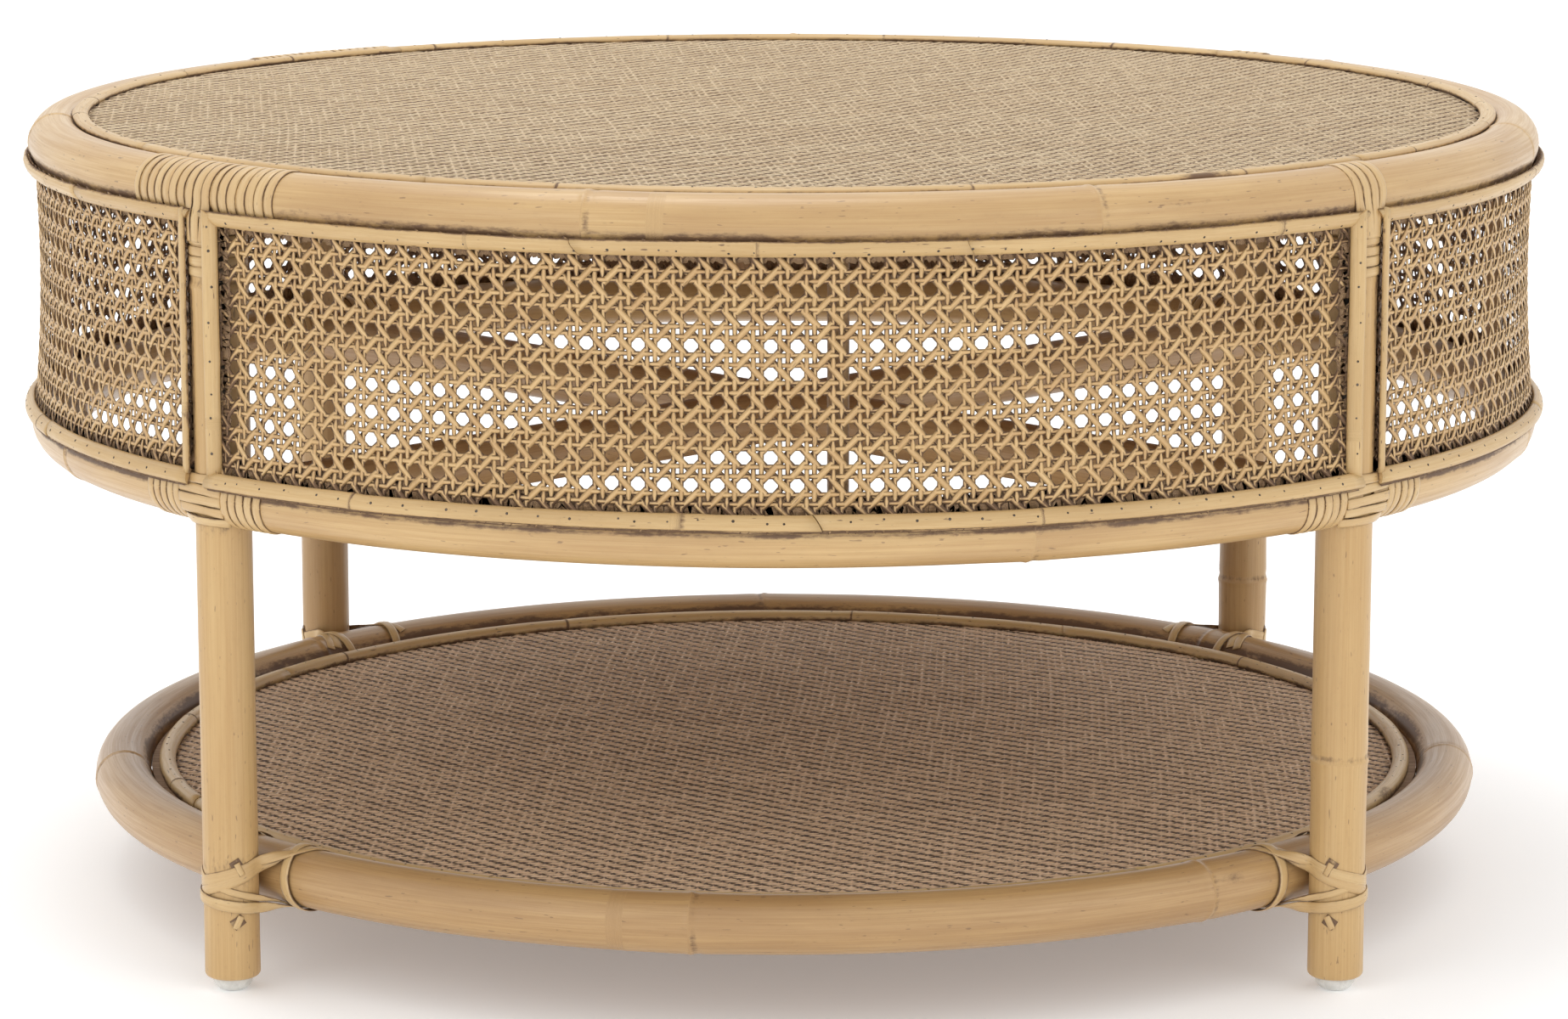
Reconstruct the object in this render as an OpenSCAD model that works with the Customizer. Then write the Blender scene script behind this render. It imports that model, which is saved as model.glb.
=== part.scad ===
// Round two-tier rattan coffee table with a cane apron.
// Millimetres, +Z up. The origin is on the floor, under the middle of the table.

/* [Table] */
// Diameter across the top ring
top_d = 890; // [800:5:1000]
// Height of the top ring's centre line
top_z = 442; // [420:1:480]
// Height of the apron ring's centre line
apron_z = 279; // [260:1:300]
// Height of the shelf ring's centre line
shelf_z = 62; // [55:1:90]

/* [Poles] */
// Diameter of the bent ring poles and of the cross poles
pole_d = 33; // [30:0.5:36]
// Diameter of the leg poles
leg_d = 31; // [28:0.5:33]
// How far the leg axis stands outside the top ring's centre line
leg_out = 2.5; // [0:0.5:4]
// Height of the cross poles' axis below the apron ring's centre line
cross_drop = 7; // [4:0.5:10]
// Diameter of the slim upright behind each cane panel
strut_d = 11.5; // [8:0.5:14]
// Distance of that upright from the middle of its panel
strut_offset = 28; // [0:1:60]

/* [Tops] */
// Thickness of the plywood under the woven mats
board_t = 10; // [8:1:12]
// Thickness of the woven mats
mat_t = 1.2; // [1:0.1:2]
// Depth of the top mat's surface below the crown of the top ring
mat_drop = 2.3; // [2:0.1:4]
// Width of the round stock for the trim strip of the top mat, planed by 0.4 on each flank
top_trim_w = 10.8; // [9:0.1:12]
// Height of the trim strip on the edge of the top mat
top_trim_h = 4.2; // [3.5:0.1:4.5]
// Width of the round stock for the trim strip of the shelf mat, planed by 0.4 on each flank
shelf_trim_w = 11; // [9:0.5:12]
// Height of the trim strip on the edge of the shelf mat
shelf_trim_h = 7; // [6:0.5:9]
// Number of lengths that each trim strip is made of
trim_lengths = 3; // [2:1:6]

/* [Cane apron] */
// Thickness of the cane webbing
cane_t = 1.2; // [1:0.1:1.6]
// How far the webbing draws in at mid height
waist = 2.6; // [0:0.2:4]
// Width of the half-round strips that frame each panel
bead_w = 10; // [8:0.5:11]
// Thickness of those strips
bead_t = 4.2; // [3:0.1:5]
// Angle below the horizontal at which the upper strip sits on the top ring
upper_tilt = 33; // [25:1:38]
// Angle above the horizontal at which the lower strip sits on the apron ring
lower_tilt = 31; // [28:1:45]
// Angle from the radial direction at which the upright strips sit on the legs
side_tilt = 37; // [33:1:40]
// Distance between the pins along the strips
pin_pitch = 45; // [30:5:90]

/* [Bindings] */
// Thickness of the rattan peel
peel_t = 1; // [0.6:0.1:1.2]
// Length of top ring that is bound at the front left leg, each way
long_bind = 54; // [30:1:60]
// Length of top ring that is bound at the other legs, each way
short_bind = 22; // [18:1:40]
// Height of the band round the post under the top ring
post_band = 27; // [20:1:35]
// Length of apron ring that is bound beside each leg
apron_bind = 30; // [20:1:40]
// Length of shelf ring that is bound beside each leg
shelf_bind = 26; // [18:1:34]

/* [Feet and screws] */
// Diameter of the glides under the legs
glide_d = 22; // [18:1:26]
// Height of the glides
glide_h = 8; // [4:0.5:10]
// Diameter of the frame screws
screw_d = 4; // [3:0.5:5]

/* [Hidden] */

$fn = 72;
pole_r = pole_d / 2;
leg_r = leg_d / 2;
fit = 0.1;

// Directions of the four sides and of the four legs
front = 270;
right = 0;
back = 90;
left = 180;
front_left = 225;
front_right = 315;
back_right = 45;
back_left = 135;
leg_angles = [front_left, front_right, back_right, back_left];

// Centre-line radii of the three rings and of the circle of legs
top_c = top_d / 2 - pole_r;
leg_c = top_c + leg_out;
apron_c = leg_c;
shelf_c = leg_c - leg_r - pole_r - 2 * fit;
cross_z = apron_z - cross_drop;

// Levels of the top and of the shelf
top_mat_z = top_z + pole_r - mat_drop;
top_board_z = top_mat_z - mat_t - board_t;
shelf_mat_z = shelf_z + 4.5;
shelf_board_z = shelf_mat_z - mat_t - (board_t - 1);
trim_flank = 0.4;
top_trim_c = top_c - pole_r + 3;
shelf_trim_c = shelf_c - pole_r - 9;

// Seats on the poles: the peel lies on the pole, the cane on the peel, and the strip on the cane
cane_seat = peel_t + fit;
bead_seat = cane_seat + cane_t + fit;
half_span = 45;
panel_end = asin((leg_r + bead_seat + 1) / leg_c);
side_bottom = apron_z + 13.2;
side_top = top_z - 12.2;

bearer_w = 30;
bearer_y = 150;
top_bearer_t = 14;
shelf_bearer_t = 9.5;
leg_round = 2.5;
leg_end = top_z - 7;
nail_r = 1.2;
nail_l = 16;
pin_r = 1;
pin_h = 0.5;

rattan = [0.80, 0.64, 0.40];
strip = [0.86, 0.74, 0.50];
cane = [0.84, 0.69, 0.44];
straw = [0.76, 0.65, 0.46];
shade = [0.60, 0.49, 0.34];
peel = [0.88, 0.77, 0.52];
ply = [0.72, 0.58, 0.42];

// A ring of round pole; grow makes the tool that copes other poles to it
module ring(c, z, r) {
    translate([0, 0, z])
        rotate_extrude()
            translate([c, 0])
                circle(r = r);
}

// Part of a ring of round pole, from one direction to another
module ring_arc(c, z, r, from, span) {
    translate([0, 0, z])
        rotate([0, 0, from])
            rotate_extrude(angle = span)
                translate([c, 0])
                    circle(r = r);
}

// A thin sleeve round part of a ring
module ring_sleeve(c, z, r, t, from, span) {
    translate([0, 0, z])
        rotate([0, 0, from])
            rotate_extrude(angle = span)
                translate([c, 0])
                    difference() {
                        circle(r = r + t);
                        circle(r = r + fit / 2);
                    }
}

// Places children on a leg's axis, with +X pointing outwards
module at_leg(direction) {
    rotate([0, 0, direction])
        translate([leg_c, 0, 0])
            children();
}

// The space that a leg fills, grown by a clearance
module leg_space(direction, clear = fit) {
    at_leg(direction)
        cylinder(r = leg_r + clear, h = top_z);
}

// Top ring, drilled for the screws that hold it on the legs
module top_ring() {
    color(rattan)
        difference() {
            ring(top_c, top_z, pole_r);
            for (direction = leg_angles)
                at_leg(direction)
                    translate([-leg_out, 0, top_z - pole_r - 1])
                        cylinder(d = screw_d + 2 * fit, h = pole_d + 2);
        }
}

// One quarter of the apron ring, coped to the legs at both ends
module apron_quarter(side) {
    gap = 1.9;
    color(rattan)
        difference() {
            ring_arc(apron_c, apron_z, pole_r, side - half_span + gap, 2 * (half_span - gap));
            leg_space(side - half_span);
            leg_space(side + half_span);
        }
}

module apron_ring_front() apron_quarter(front);
module apron_ring_right() apron_quarter(right);
module apron_ring_back() apron_quarter(back);
module apron_ring_left() apron_quarter(left);

// Shelf ring, drilled for the screws that come through the legs
module shelf_ring() {
    color(rattan)
        difference() {
            ring(shelf_c, shelf_z, pole_r);
            for (direction = leg_angles)
                rotate([0, 0, direction])
                    translate([shelf_c - 6, 0, shelf_z])
                        rotate([0, 90, 0])
                            cylinder(d = screw_d + 2 * fit, h = 30);
        }
}

// One leg: saddled under the top ring, rounded at the foot, drilled for its screws and its glide nail
module leg(direction) {
    color(rattan)
        difference() {
            at_leg(direction)
                rotate_extrude() {
                    translate([0, glide_h + leg_round])
                        square([leg_r, leg_end - glide_h - leg_round]);
                    translate([0, glide_h])
                        square([leg_r - leg_round, leg_round]);
                    translate([leg_r - leg_round, glide_h + leg_round])
                        circle(r = leg_round);
                }
            ring(top_c, top_z, pole_r + fit);
            at_leg(direction)
                translate([-leg_out, 0, top_z - pole_r - 34])
                    cylinder(d = screw_d + 2 * fit, h = 40);
            at_leg(direction)
                translate([-leg_r - 1, 0, shelf_z])
                    rotate([0, 90, 0])
                        cylinder(d = screw_d + 2 * fit, h = leg_d + 2);
            at_leg(direction)
                cylinder(r = nail_r + fit, h = glide_h + nail_l);
        }
}

module leg_front_left() leg(front_left);
module leg_front_right() leg(front_right);
module leg_back_right() leg(back_right);
module leg_back_left() leg(back_left);

// The domed glides, each with a small flat to stand on and a hole for its nail
module glides() {
    flat_r = 4;
    rim = 1.5;
    color("whitesmoke")
        for (direction = leg_angles)
            at_leg(direction)
                difference() {
                    rotate_extrude()
                        polygon([for (step = [0:6])
                            [flat_r + (glide_d / 2 - flat_r) * sin(step * 15),
                                (glide_h - rim) * (1 - cos(step * 15))],
                            [glide_d / 2, glide_h], [0, glide_h], [0, 0]]);
                    translate([0, 0, 2])
                        cylinder(r = nail_r + fit, h = glide_h);
                }
}

// The nails moulded in the glides and driven into the legs
module glide_nails() {
    color("silver")
        for (direction = leg_angles)
            at_leg(direction)
                translate([0, 0, 2])
                    cylinder(r = nail_r, h = glide_h + nail_l - 4);
}

// A cross pole between two radii on one diagonal
module cross_pole(direction, inner, outer) {
    rotate([0, 0, direction])
        translate([inner, 0, cross_z])
            rotate([0, 90, 0])
                cylinder(r = pole_r, h = outer - inner);
}

// The pole that runs from leg to leg
module cross_pole_long() {
    reach = leg_c - leg_r + 4;
    color(rattan)
        difference() {
            cross_pole(front_left, -reach, reach);
            leg_space(front_left);
            leg_space(back_right);
            ring(apron_c, apron_z, pole_r + fit);
        }
}

// A half pole from the long pole to a leg
module cross_pole_short(direction) {
    color(rattan)
        difference() {
            cross_pole(direction, pole_r - 6, leg_c - leg_r + 4);
            rotate([0, 0, front_left])
                translate([-50, 0, cross_z])
                    rotate([0, 90, 0])
                        cylinder(r = pole_r + fit, h = 100);
            leg_space(direction);
            ring(apron_c, apron_z, pole_r + fit);
        }
}

module cross_pole_short_left() cross_pole_short(back_left);
module cross_pole_short_right() cross_pole_short(front_right);

// A batten under a board, cut round to the ring that holds it
module bearer(y, z, t, reach) {
    color(ply)
        intersection() {
            translate([-reach, y - bearer_w / 2, z])
                cube([2 * reach, bearer_w, t]);
            translate([0, 0, z])
                cylinder(r = reach, h = t);
        }
}

module top_bearer_front() bearer(-bearer_y, top_board_z - top_bearer_t, top_bearer_t, top_c - pole_r - 1.2);
module top_bearer_back() bearer(bearer_y, top_board_z - top_bearer_t, top_bearer_t, top_c - pole_r - 1.2);
module shelf_bearer_front()
    bearer(-bearer_y, shelf_board_z - shelf_bearer_t, shelf_bearer_t, shelf_c - pole_r - 1.3);
module shelf_bearer_back()
    bearer(bearer_y, shelf_board_z - shelf_bearer_t, shelf_bearer_t, shelf_c - pole_r - 1.3);

module top_board() {
    color(ply)
        translate([0, 0, top_board_z])
            cylinder(r = top_c - pole_r - 0.4, h = board_t);
}

module top_mat() {
    color(straw)
        translate([0, 0, top_mat_z - mat_t])
            cylinder(r = top_trim_c - top_trim_w / 2 + trim_flank - 0.15, h = mat_t);
}

module shelf_board() {
    color(ply)
        translate([0, 0, shelf_board_z])
            cylinder(r = shelf_c - pole_r - 0.4, h = board_t - 1);
}

module shelf_mat() {
    color(shade)
        translate([0, 0, shelf_mat_z - mat_t])
            cylinder(r = shelf_trim_c - shelf_trim_w / 2 + trim_flank - 0.15, h = mat_t);
}

// A domed trim strip round the edge of a mat, bent in several lengths, with a tongue that
// stands on the board
trim_outline = [[-1, 0], [-1, 0.35], [-0.72, 0.78], [-0.28, 1],
    [0.28, 1], [0.72, 0.78], [1, 0.35], [1, 0]];
module trim(c, z, w, h, tongue) {
    joint = 0.05;
    length = 360 / trim_lengths;
    for (piece = [0:trim_lengths - 1])
        translate([0, 0, z])
            rotate([0, 0, piece * length + 20])
                rotate_extrude(angle = length - joint)
                    translate([c, 0]) {
                        polygon([for (p = trim_outline) [p[0] * (w / 2 - trim_flank), p[1] * h]]);
                        translate([trim_flank - w / 2, -mat_t])
                            square([tongue, mat_t + 0.3]);
                    }
}

module top_trim() {
    color(strip)
        trim(top_trim_c, top_mat_z, top_trim_w, top_trim_h, top_trim_w / 2);
}

module shelf_trim() {
    color(strip)
        trim(shelf_trim_c, shelf_mat_z, shelf_trim_w, shelf_trim_h, shelf_trim_w - 2 * trim_flank);
}

// A point at a distance from a ring's centre line, at an angle above the outward horizontal,
// moved along the tangent
function seat_point(c, z, tilt, distance, along) = [
    c + distance * cos(tilt) - along * sin(tilt),
    z + distance * sin(tilt) + along * cos(tilt)];

// The radius and height of the webbing's back between its two seats
upper_edge = seat_point(top_c, top_z, -upper_tilt, pole_r + cane_seat, -bead_w / 2);
lower_edge = seat_point(apron_c, apron_z, lower_tilt, pole_r + cane_seat, bead_w / 2);
function waist_point(step) =
    lower_edge + (upper_edge - lower_edge) * step - [waist * sin(180 * step), 0];
cane_back = concat(
    [seat_point(apron_c, apron_z, lower_tilt, pole_r + cane_seat, -bead_w / 2 + 0.5)],
    [for (step = [0:8]) waist_point(step / 8)],
    [seat_point(top_c, top_z, -upper_tilt, pole_r + cane_seat, bead_w / 2 - 0.5)]);
cane_outline = concat(
    cane_back,
    [for (i = [len(cane_back) - 1:-1:0]) cane_back[i] + [cane_t, 0]]);

// One panel of cane webbing, stretched between the rings over a quarter of the apron
module cane_panel(side) {
    color(cane)
        rotate([0, 0, side - half_span + panel_end])
            rotate_extrude(angle = 2 * (half_span - panel_end))
                polygon(cane_outline);
}

module cane_panel_front() cane_panel(front);
module cane_panel_right() cane_panel(right);
module cane_panel_back() cane_panel(back);
module cane_panel_left() cane_panel(left);

// The half-round section of a bead, flat side on x = 0
module bead_section() {
    intersection() {
        translate([bead_t - bead_w / 2, 0])
            circle(d = bead_w);
        translate([0, -bead_w / 2])
            square([bead_t, bead_w]);
    }
}

// A bead round a quarter of a ring
module ring_bead(c, z, tilt, side) {
    color(strip)
        translate([0, 0, z])
            rotate([0, 0, side - half_span + panel_end])
                rotate_extrude(angle = 2 * (half_span - panel_end))
                    translate([c, 0])
                        rotate(tilt)
                            translate([pole_r + bead_seat, 0])
                                bead_section();
}

module upper_bead_front() ring_bead(top_c, top_z, -upper_tilt, front);
module upper_bead_right() ring_bead(top_c, top_z, -upper_tilt, right);
module upper_bead_back() ring_bead(top_c, top_z, -upper_tilt, back);
module upper_bead_left() ring_bead(top_c, top_z, -upper_tilt, left);
module lower_bead_front() ring_bead(apron_c, apron_z, lower_tilt, front);
module lower_bead_right() ring_bead(apron_c, apron_z, lower_tilt, right);
module lower_bead_back() ring_bead(apron_c, apron_z, lower_tilt, back);
module lower_bead_left() ring_bead(apron_c, apron_z, lower_tilt, left);

// An upright bead on a leg; turn is +1 on the leg's left flank and -1 on its right
module upright_bead(direction, turn) {
    at_leg(direction)
        rotate([0, 0, turn * side_tilt])
            translate([leg_r + bead_seat, 0, side_bottom])
                linear_extrude(side_top - side_bottom)
                    bead_section();
}

// The two upright beads of one panel
module side_beads(side) {
    color(strip) {
        upright_bead(side - half_span, 1);
        upright_bead(side + half_span, -1);
    }
}

module side_beads_front() side_beads(front);
module side_beads_right() side_beads(right);
module side_beads_back() side_beads(back);
module side_beads_left() side_beads(left);

// The slim upright behind a panel, coped to both rings
module strut(side) {
    color(rattan)
        difference() {
            rotate([0, 0, side + asin(strut_offset / top_c)])
                translate([top_c + 1, 0, apron_z])
                    cylinder(d = strut_d, h = top_z - apron_z);
            ring(top_c, top_z, pole_r + fit);
            ring(apron_c, apron_z, pole_r + fit);
        }
}

module strut_front() strut(front);
module strut_right() strut(right);
module strut_back() strut(back);
module strut_left() strut(left);

// The peel bound round the top ring and the post at one leg
module top_lashing(direction, reach) {
    half = reach / top_c * 180 / PI;
    color(peel) {
        difference() {
            ring_sleeve(top_c, top_z, pole_r, peel_t, direction - half, 2 * half);
            leg_space(direction, peel_t + 2 * fit);
            rotate_extrude()
                translate([top_trim_c - top_trim_w, top_mat_z - mat_t - fit])
                    square([1.5 * top_trim_w + fit, top_trim_w]);
        }
        difference() {
            at_leg(direction)
                translate([0, 0, top_z - pole_r - post_band])
                    cylinder(r = leg_r + peel_t, h = post_band + 4);
            leg_space(direction, fit / 2);
            ring(top_c, top_z, pole_r + fit);
        }
    }
}

module top_lashing_front_left() top_lashing(front_left, long_bind);
module top_lashing_front_right() top_lashing(front_right, short_bind);
module top_lashing_back_right() top_lashing(back_right, short_bind);
module top_lashing_back_left() top_lashing(back_left, long_bind);

// The peel bound round the apron ring on both sides of a leg, with the bands that cross the leg
module apron_lashing(direction) {
    gap = asin((leg_r + 1) / apron_c);
    reach = apron_bind / apron_c * 180 / PI;
    band_h = 18;
    color(peel) {
        ring_sleeve(apron_c, apron_z, pole_r, peel_t, direction + gap, reach);
        ring_sleeve(apron_c, apron_z, pole_r, peel_t, direction - gap - reach, reach);
        rotate([0, 0, direction - gap + 0.1])
            rotate_extrude(angle = 2 * gap - 0.2)
                translate([apron_c + pole_r + fit, apron_z - band_h / 2])
                    square([peel_t, band_h]);
    }
}

module apron_lashing_front_left() apron_lashing(front_left);
module apron_lashing_front_right() apron_lashing(front_right);
module apron_lashing_back_right() apron_lashing(back_right);
module apron_lashing_back_left() apron_lashing(back_left);

// The peel that crosses a leg and ties it to the shelf ring
module shelf_lashing(direction) {
    gap = 2.3;
    reach = shelf_bind / shelf_c * 180 / PI;
    band_h = 20;
    color(peel) {
        difference() {
            at_leg(direction)
                translate([0, 0, shelf_z - band_h / 2])
                    cylinder(r = leg_r + peel_t + 0.4, h = band_h);
            leg_space(direction, fit / 2);
            ring(shelf_c, shelf_z, pole_r + fit);
        }
        difference() {
            ring_sleeve(shelf_c, shelf_z, pole_r, peel_t, direction - gap - reach, 2 * (gap + reach));
            leg_space(direction, peel_t + 0.6);
        }
    }
}

module shelf_lashing_front_left() shelf_lashing(front_left);
module shelf_lashing_front_right() shelf_lashing(front_right);
module shelf_lashing_back_right() shelf_lashing(back_right);
module shelf_lashing_back_left() shelf_lashing(back_left);

// One pin head, lying on a bead's crown
module pin_head() {
    rotate([0, 90, 0])
        cylinder(r = pin_r, h = pin_h, $fn = 16);
}

// The pins along a bead on a ring
module ring_pins(c, z, tilt) {
    span = 2 * (half_span - panel_end) - 2;
    count = floor(span * PI / 180 * c / pin_pitch);
    for (side = [front, right, back, left])
        for (i = [0:count])
            rotate([0, 0, side - span / 2 + span * i / count])
                translate([c, 0, z])
                    rotate([0, -tilt, 0])
                        translate([pole_r + bead_seat + bead_t, 0, 0])
                            pin_head();
}

// The heads of the pins that hold the beads and the cane to the frame
module bead_pins() {
    uprights = 4;
    color("dimgray") {
        ring_pins(top_c, top_z, -upper_tilt);
        ring_pins(apron_c, apron_z, lower_tilt);
        for (direction = leg_angles, turn = [-1, 1], i = [1:uprights])
            at_leg(direction)
                rotate([0, 0, turn * side_tilt])
                    translate([leg_r + bead_seat + bead_t, 0,
                        side_bottom + (side_top - side_bottom) * (i - 0.5) / uprights])
                        pin_head();
    }
}

// The screws under the bindings: down through the top ring, and through each leg into the shelf ring
module frame_screws() {
    color("silver")
        for (direction = leg_angles) {
            at_leg(direction)
                translate([-leg_out, 0, top_z - pole_r - 30])
                    cylinder(d = screw_d, h = 30 + pole_d - 3);
            rotate([0, 0, direction])
                translate([shelf_c - 4, 0, shelf_z])
                    rotate([0, 90, 0])
                        cylinder(d = screw_d, h = leg_c + leg_r - shelf_c + 2);
        }
}

top_ring();
apron_ring_front();
apron_ring_right();
apron_ring_back();
apron_ring_left();
shelf_ring();
leg_front_left();
leg_front_right();
leg_back_right();
leg_back_left();
glides();
glide_nails();
cross_pole_long();
cross_pole_short_left();
cross_pole_short_right();
top_bearer_front();
top_bearer_back();
shelf_bearer_front();
shelf_bearer_back();
top_board();
top_mat();
top_trim();
shelf_board();
shelf_mat();
shelf_trim();
cane_panel_front();
cane_panel_right();
cane_panel_back();
cane_panel_left();
upper_bead_front();
upper_bead_right();
upper_bead_back();
upper_bead_left();
lower_bead_front();
lower_bead_right();
lower_bead_back();
lower_bead_left();
side_beads_front();
side_beads_right();
side_beads_back();
side_beads_left();
strut_front();
strut_right();
strut_back();
strut_left();
top_lashing_front_left();
top_lashing_front_right();
top_lashing_back_right();
top_lashing_back_left();
apron_lashing_front_left();
apron_lashing_front_right();
apron_lashing_back_right();
apron_lashing_back_left();
shelf_lashing_front_left();
shelf_lashing_front_right();
shelf_lashing_back_right();
shelf_lashing_back_left();
bead_pins();
frame_screws();
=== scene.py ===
# Round two-tier rattan coffee table: the looks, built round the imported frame. Metres, Z up.
import math

import bpy
import numpy as np
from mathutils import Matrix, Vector


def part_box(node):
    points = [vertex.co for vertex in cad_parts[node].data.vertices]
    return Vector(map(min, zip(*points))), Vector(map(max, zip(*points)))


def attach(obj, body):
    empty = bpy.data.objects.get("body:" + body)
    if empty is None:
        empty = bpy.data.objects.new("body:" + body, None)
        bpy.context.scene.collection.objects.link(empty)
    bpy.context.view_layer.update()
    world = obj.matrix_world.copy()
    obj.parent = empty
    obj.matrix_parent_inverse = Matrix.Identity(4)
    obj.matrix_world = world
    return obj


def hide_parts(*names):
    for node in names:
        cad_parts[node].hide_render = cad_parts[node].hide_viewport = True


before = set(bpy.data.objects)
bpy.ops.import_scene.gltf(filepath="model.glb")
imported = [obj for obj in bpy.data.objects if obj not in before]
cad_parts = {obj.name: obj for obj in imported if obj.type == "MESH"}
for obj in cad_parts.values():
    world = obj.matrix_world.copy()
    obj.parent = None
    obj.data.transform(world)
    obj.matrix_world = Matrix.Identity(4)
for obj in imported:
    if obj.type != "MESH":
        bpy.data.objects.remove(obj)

MM = 0.001
TURN = 2 * math.pi
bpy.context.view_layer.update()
chance = np.random.default_rng(11)

FRONT, RIGHT, BACK, LEFT = (math.radians(a) for a in (270, 0, 90, 180))
SIDES = {"front": FRONT, "right": RIGHT, "back": BACK, "left": LEFT}
LEGS = {
    "front_left": math.radians(225),
    "front_right": math.radians(315),
    "back_right": math.radians(45),
    "back_left": math.radians(135),
}


# ---------------------------------------------------------------- sizes read from the frame
def ring_size(node):
    """The centre-line radius, height and pole radius of a ring that reaches out along +X."""
    low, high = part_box(node)
    thick = (high.z - low.z) / 2
    return high.x - thick, (high.z + low.z) / 2, thick


TOP = ring_size("top_ring")
APRON = ring_size("apron_ring_right")
SHELF = ring_size("shelf_ring")
leg_low, leg_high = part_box("leg_back_right")
LEG_THICK = (leg_high.x - leg_low.x) / 2
LEG_OUT = math.hypot(leg_high.x - LEG_THICK, leg_high.y - LEG_THICK)
LEG_FOOT = leg_low.z
TOP_MAT_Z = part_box("top_mat")[1].z
SHELF_MAT_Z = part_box("shelf_mat")[1].z
TOP_TRIM_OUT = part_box("top_trim")[1].x
SHELF_TRIM_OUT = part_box("shelf_trim")[1].x
TOP_MAT_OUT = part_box("top_mat")[1].x
SHELF_MAT_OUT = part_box("shelf_mat")[1].x


# ---------------------------------------------------------------- mesh making
def unit(v):
    return v / np.maximum(np.linalg.norm(v, axis=-1, keepdims=True), 1e-12)


class Bundle:
    """Shapes gathered into one mesh. Each point has its place in the grain, which runs along the
    first coordinate, and its share of brown glazing and of painted shade in dips and gaps."""

    def __init__(self):
        self.points, self.grain, self.glaze, self.faces, self.count = [], [], [], [], 0

    def add(self, points, grain, glaze, faces):
        self.points.append(points.reshape(-1, 3))
        self.grain.append(grain.reshape(-1, 3))
        self.glaze.append(np.broadcast_to(glaze, points.shape[:-1]).reshape(-1))
        self.faces += [(f + self.count, smooth) for f, smooth in faces]
        self.count += len(self.points[-1])

    def piece(self, name, material, slot, replaces=()):
        mesh = bpy.data.meshes.new(name)
        points = np.concatenate(self.points).astype(np.float32)
        corners = np.concatenate([f.reshape(-1) for f, _ in self.faces]).astype(np.int32)
        totals = np.concatenate([np.full(len(f), f.shape[1], np.int32) for f, _ in self.faces])
        smooth = np.concatenate([np.full(len(f), s) for f, s in self.faces])
        mesh.vertices.add(len(points))
        mesh.vertices.foreach_set("co", points.reshape(-1))
        mesh.loops.add(len(corners))
        mesh.loops.foreach_set("vertex_index", corners)
        mesh.polygons.add(len(totals))
        mesh.polygons.foreach_set("loop_start", np.cumsum(totals) - totals)
        mesh.polygons.foreach_set("use_smooth", smooth)
        mesh.update(calc_edges=True)
        grain = mesh.attributes.new("grain", "FLOAT_VECTOR", "POINT")
        grain.data.foreach_set("vector", np.concatenate(self.grain).astype(np.float32).reshape(-1))
        glaze = mesh.attributes.new("glaze", "FLOAT", "POINT")
        glaze.data.foreach_set("value", np.concatenate(self.glaze).astype(np.float32))
        mesh.materials.append(material)
        piece = bpy.data.objects.new(name, mesh)
        bpy.context.scene.collection.objects.link(piece)
        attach(piece, "root")
        if replaces:
            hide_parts(*replaces)
        return piece


def sweep(bundle, path, up, outline, wide=1.0, high=1.0, closed=False, glaze=0.0, ends=(None, None),
          knots=()):
    """Draws an outline of (side, height) points along a path. up is the way that height grows, ends are
    functions of the outline that say how far each point of an end runs on past it, and the grain starts
    afresh at the knots."""
    n, m = len(path), len(outline)
    if closed:
        tangent = unit(np.roll(path, -1, 0) - np.roll(path, 1, 0))
    else:
        tangent = unit(np.gradient(path, axis=0))
    side = unit(np.cross(tangent, up))
    up = np.cross(side, tangent)
    wide = np.broadcast_to(wide, n)[:, None, None]
    high = np.broadcast_to(high, n)[:, None, None]
    points = (
        path[:, None]
        + side[:, None] * outline[None, :, :1] * wide
        + up[:, None] * outline[None, :, 1:] * high
    )
    run = np.concatenate([[0], np.cumsum(np.linalg.norm(np.diff(path, axis=0), axis=1))])
    grain = np.empty((n, m, 3))
    passed = np.searchsorted(np.array(knots) + 0.4 * MM, run)
    grain[..., 0] = (run + chance.uniform(0, 40) + 3.1 * passed)[:, None]
    grain[..., 1:] = outline[None] + chance.uniform(0, 2)
    for at, way, shift in ((0, -1, ends[0]), (-1, 1, ends[1])):
        if shift is not None:
            far = shift(outline)[:, None]
            points[at] += way * tangent[at] * far
            grain[at, :, 0] += way * far[:, 0]
    i = np.arange(n if closed else n - 1)[:, None]
    k = np.arange(m)[None]
    j, l = (i + 1) % n, (k + 1) % m
    quads = np.stack([i * m + k, j * m + k, j * m + l, i * m + l], -1).reshape(-1, 4)
    faces = [(quads, True)]
    if not closed:
        faces.append((np.arange(m)[None], False))
        faces.append(((n - 1) * m + np.arange(m)[None, ::-1], False))
    bundle.add(points, grain, glaze, faces)


def circle_outline(r, count):
    a = np.arange(count) * TURN / count
    return np.stack([r * np.cos(a), r * np.sin(a)], -1)


def half_round_outline(w, t, count=9):
    """A half-round strip, flat side down."""
    a = np.linspace(0, math.pi, count)
    dome = np.stack([w / 2 * np.cos(a), t * np.sin(a) ** 0.8], -1)
    return np.concatenate([[[-w / 2 * 0.94, 0], [w / 2 * 0.94, 0]], dome[1:-1] + [0, 0.12 * t]]) * [1, 0.9]


def peel_outline(w, t):
    """A strip of peel, flat inside and a little domed outside."""
    return np.array([
        [-w / 2, 0], [w / 2, 0], [w * 0.47, t * 0.62], [w * 0.24, t * 0.95],
        [-w * 0.24, t * 0.95], [-w * 0.47, t * 0.62]])


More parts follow.
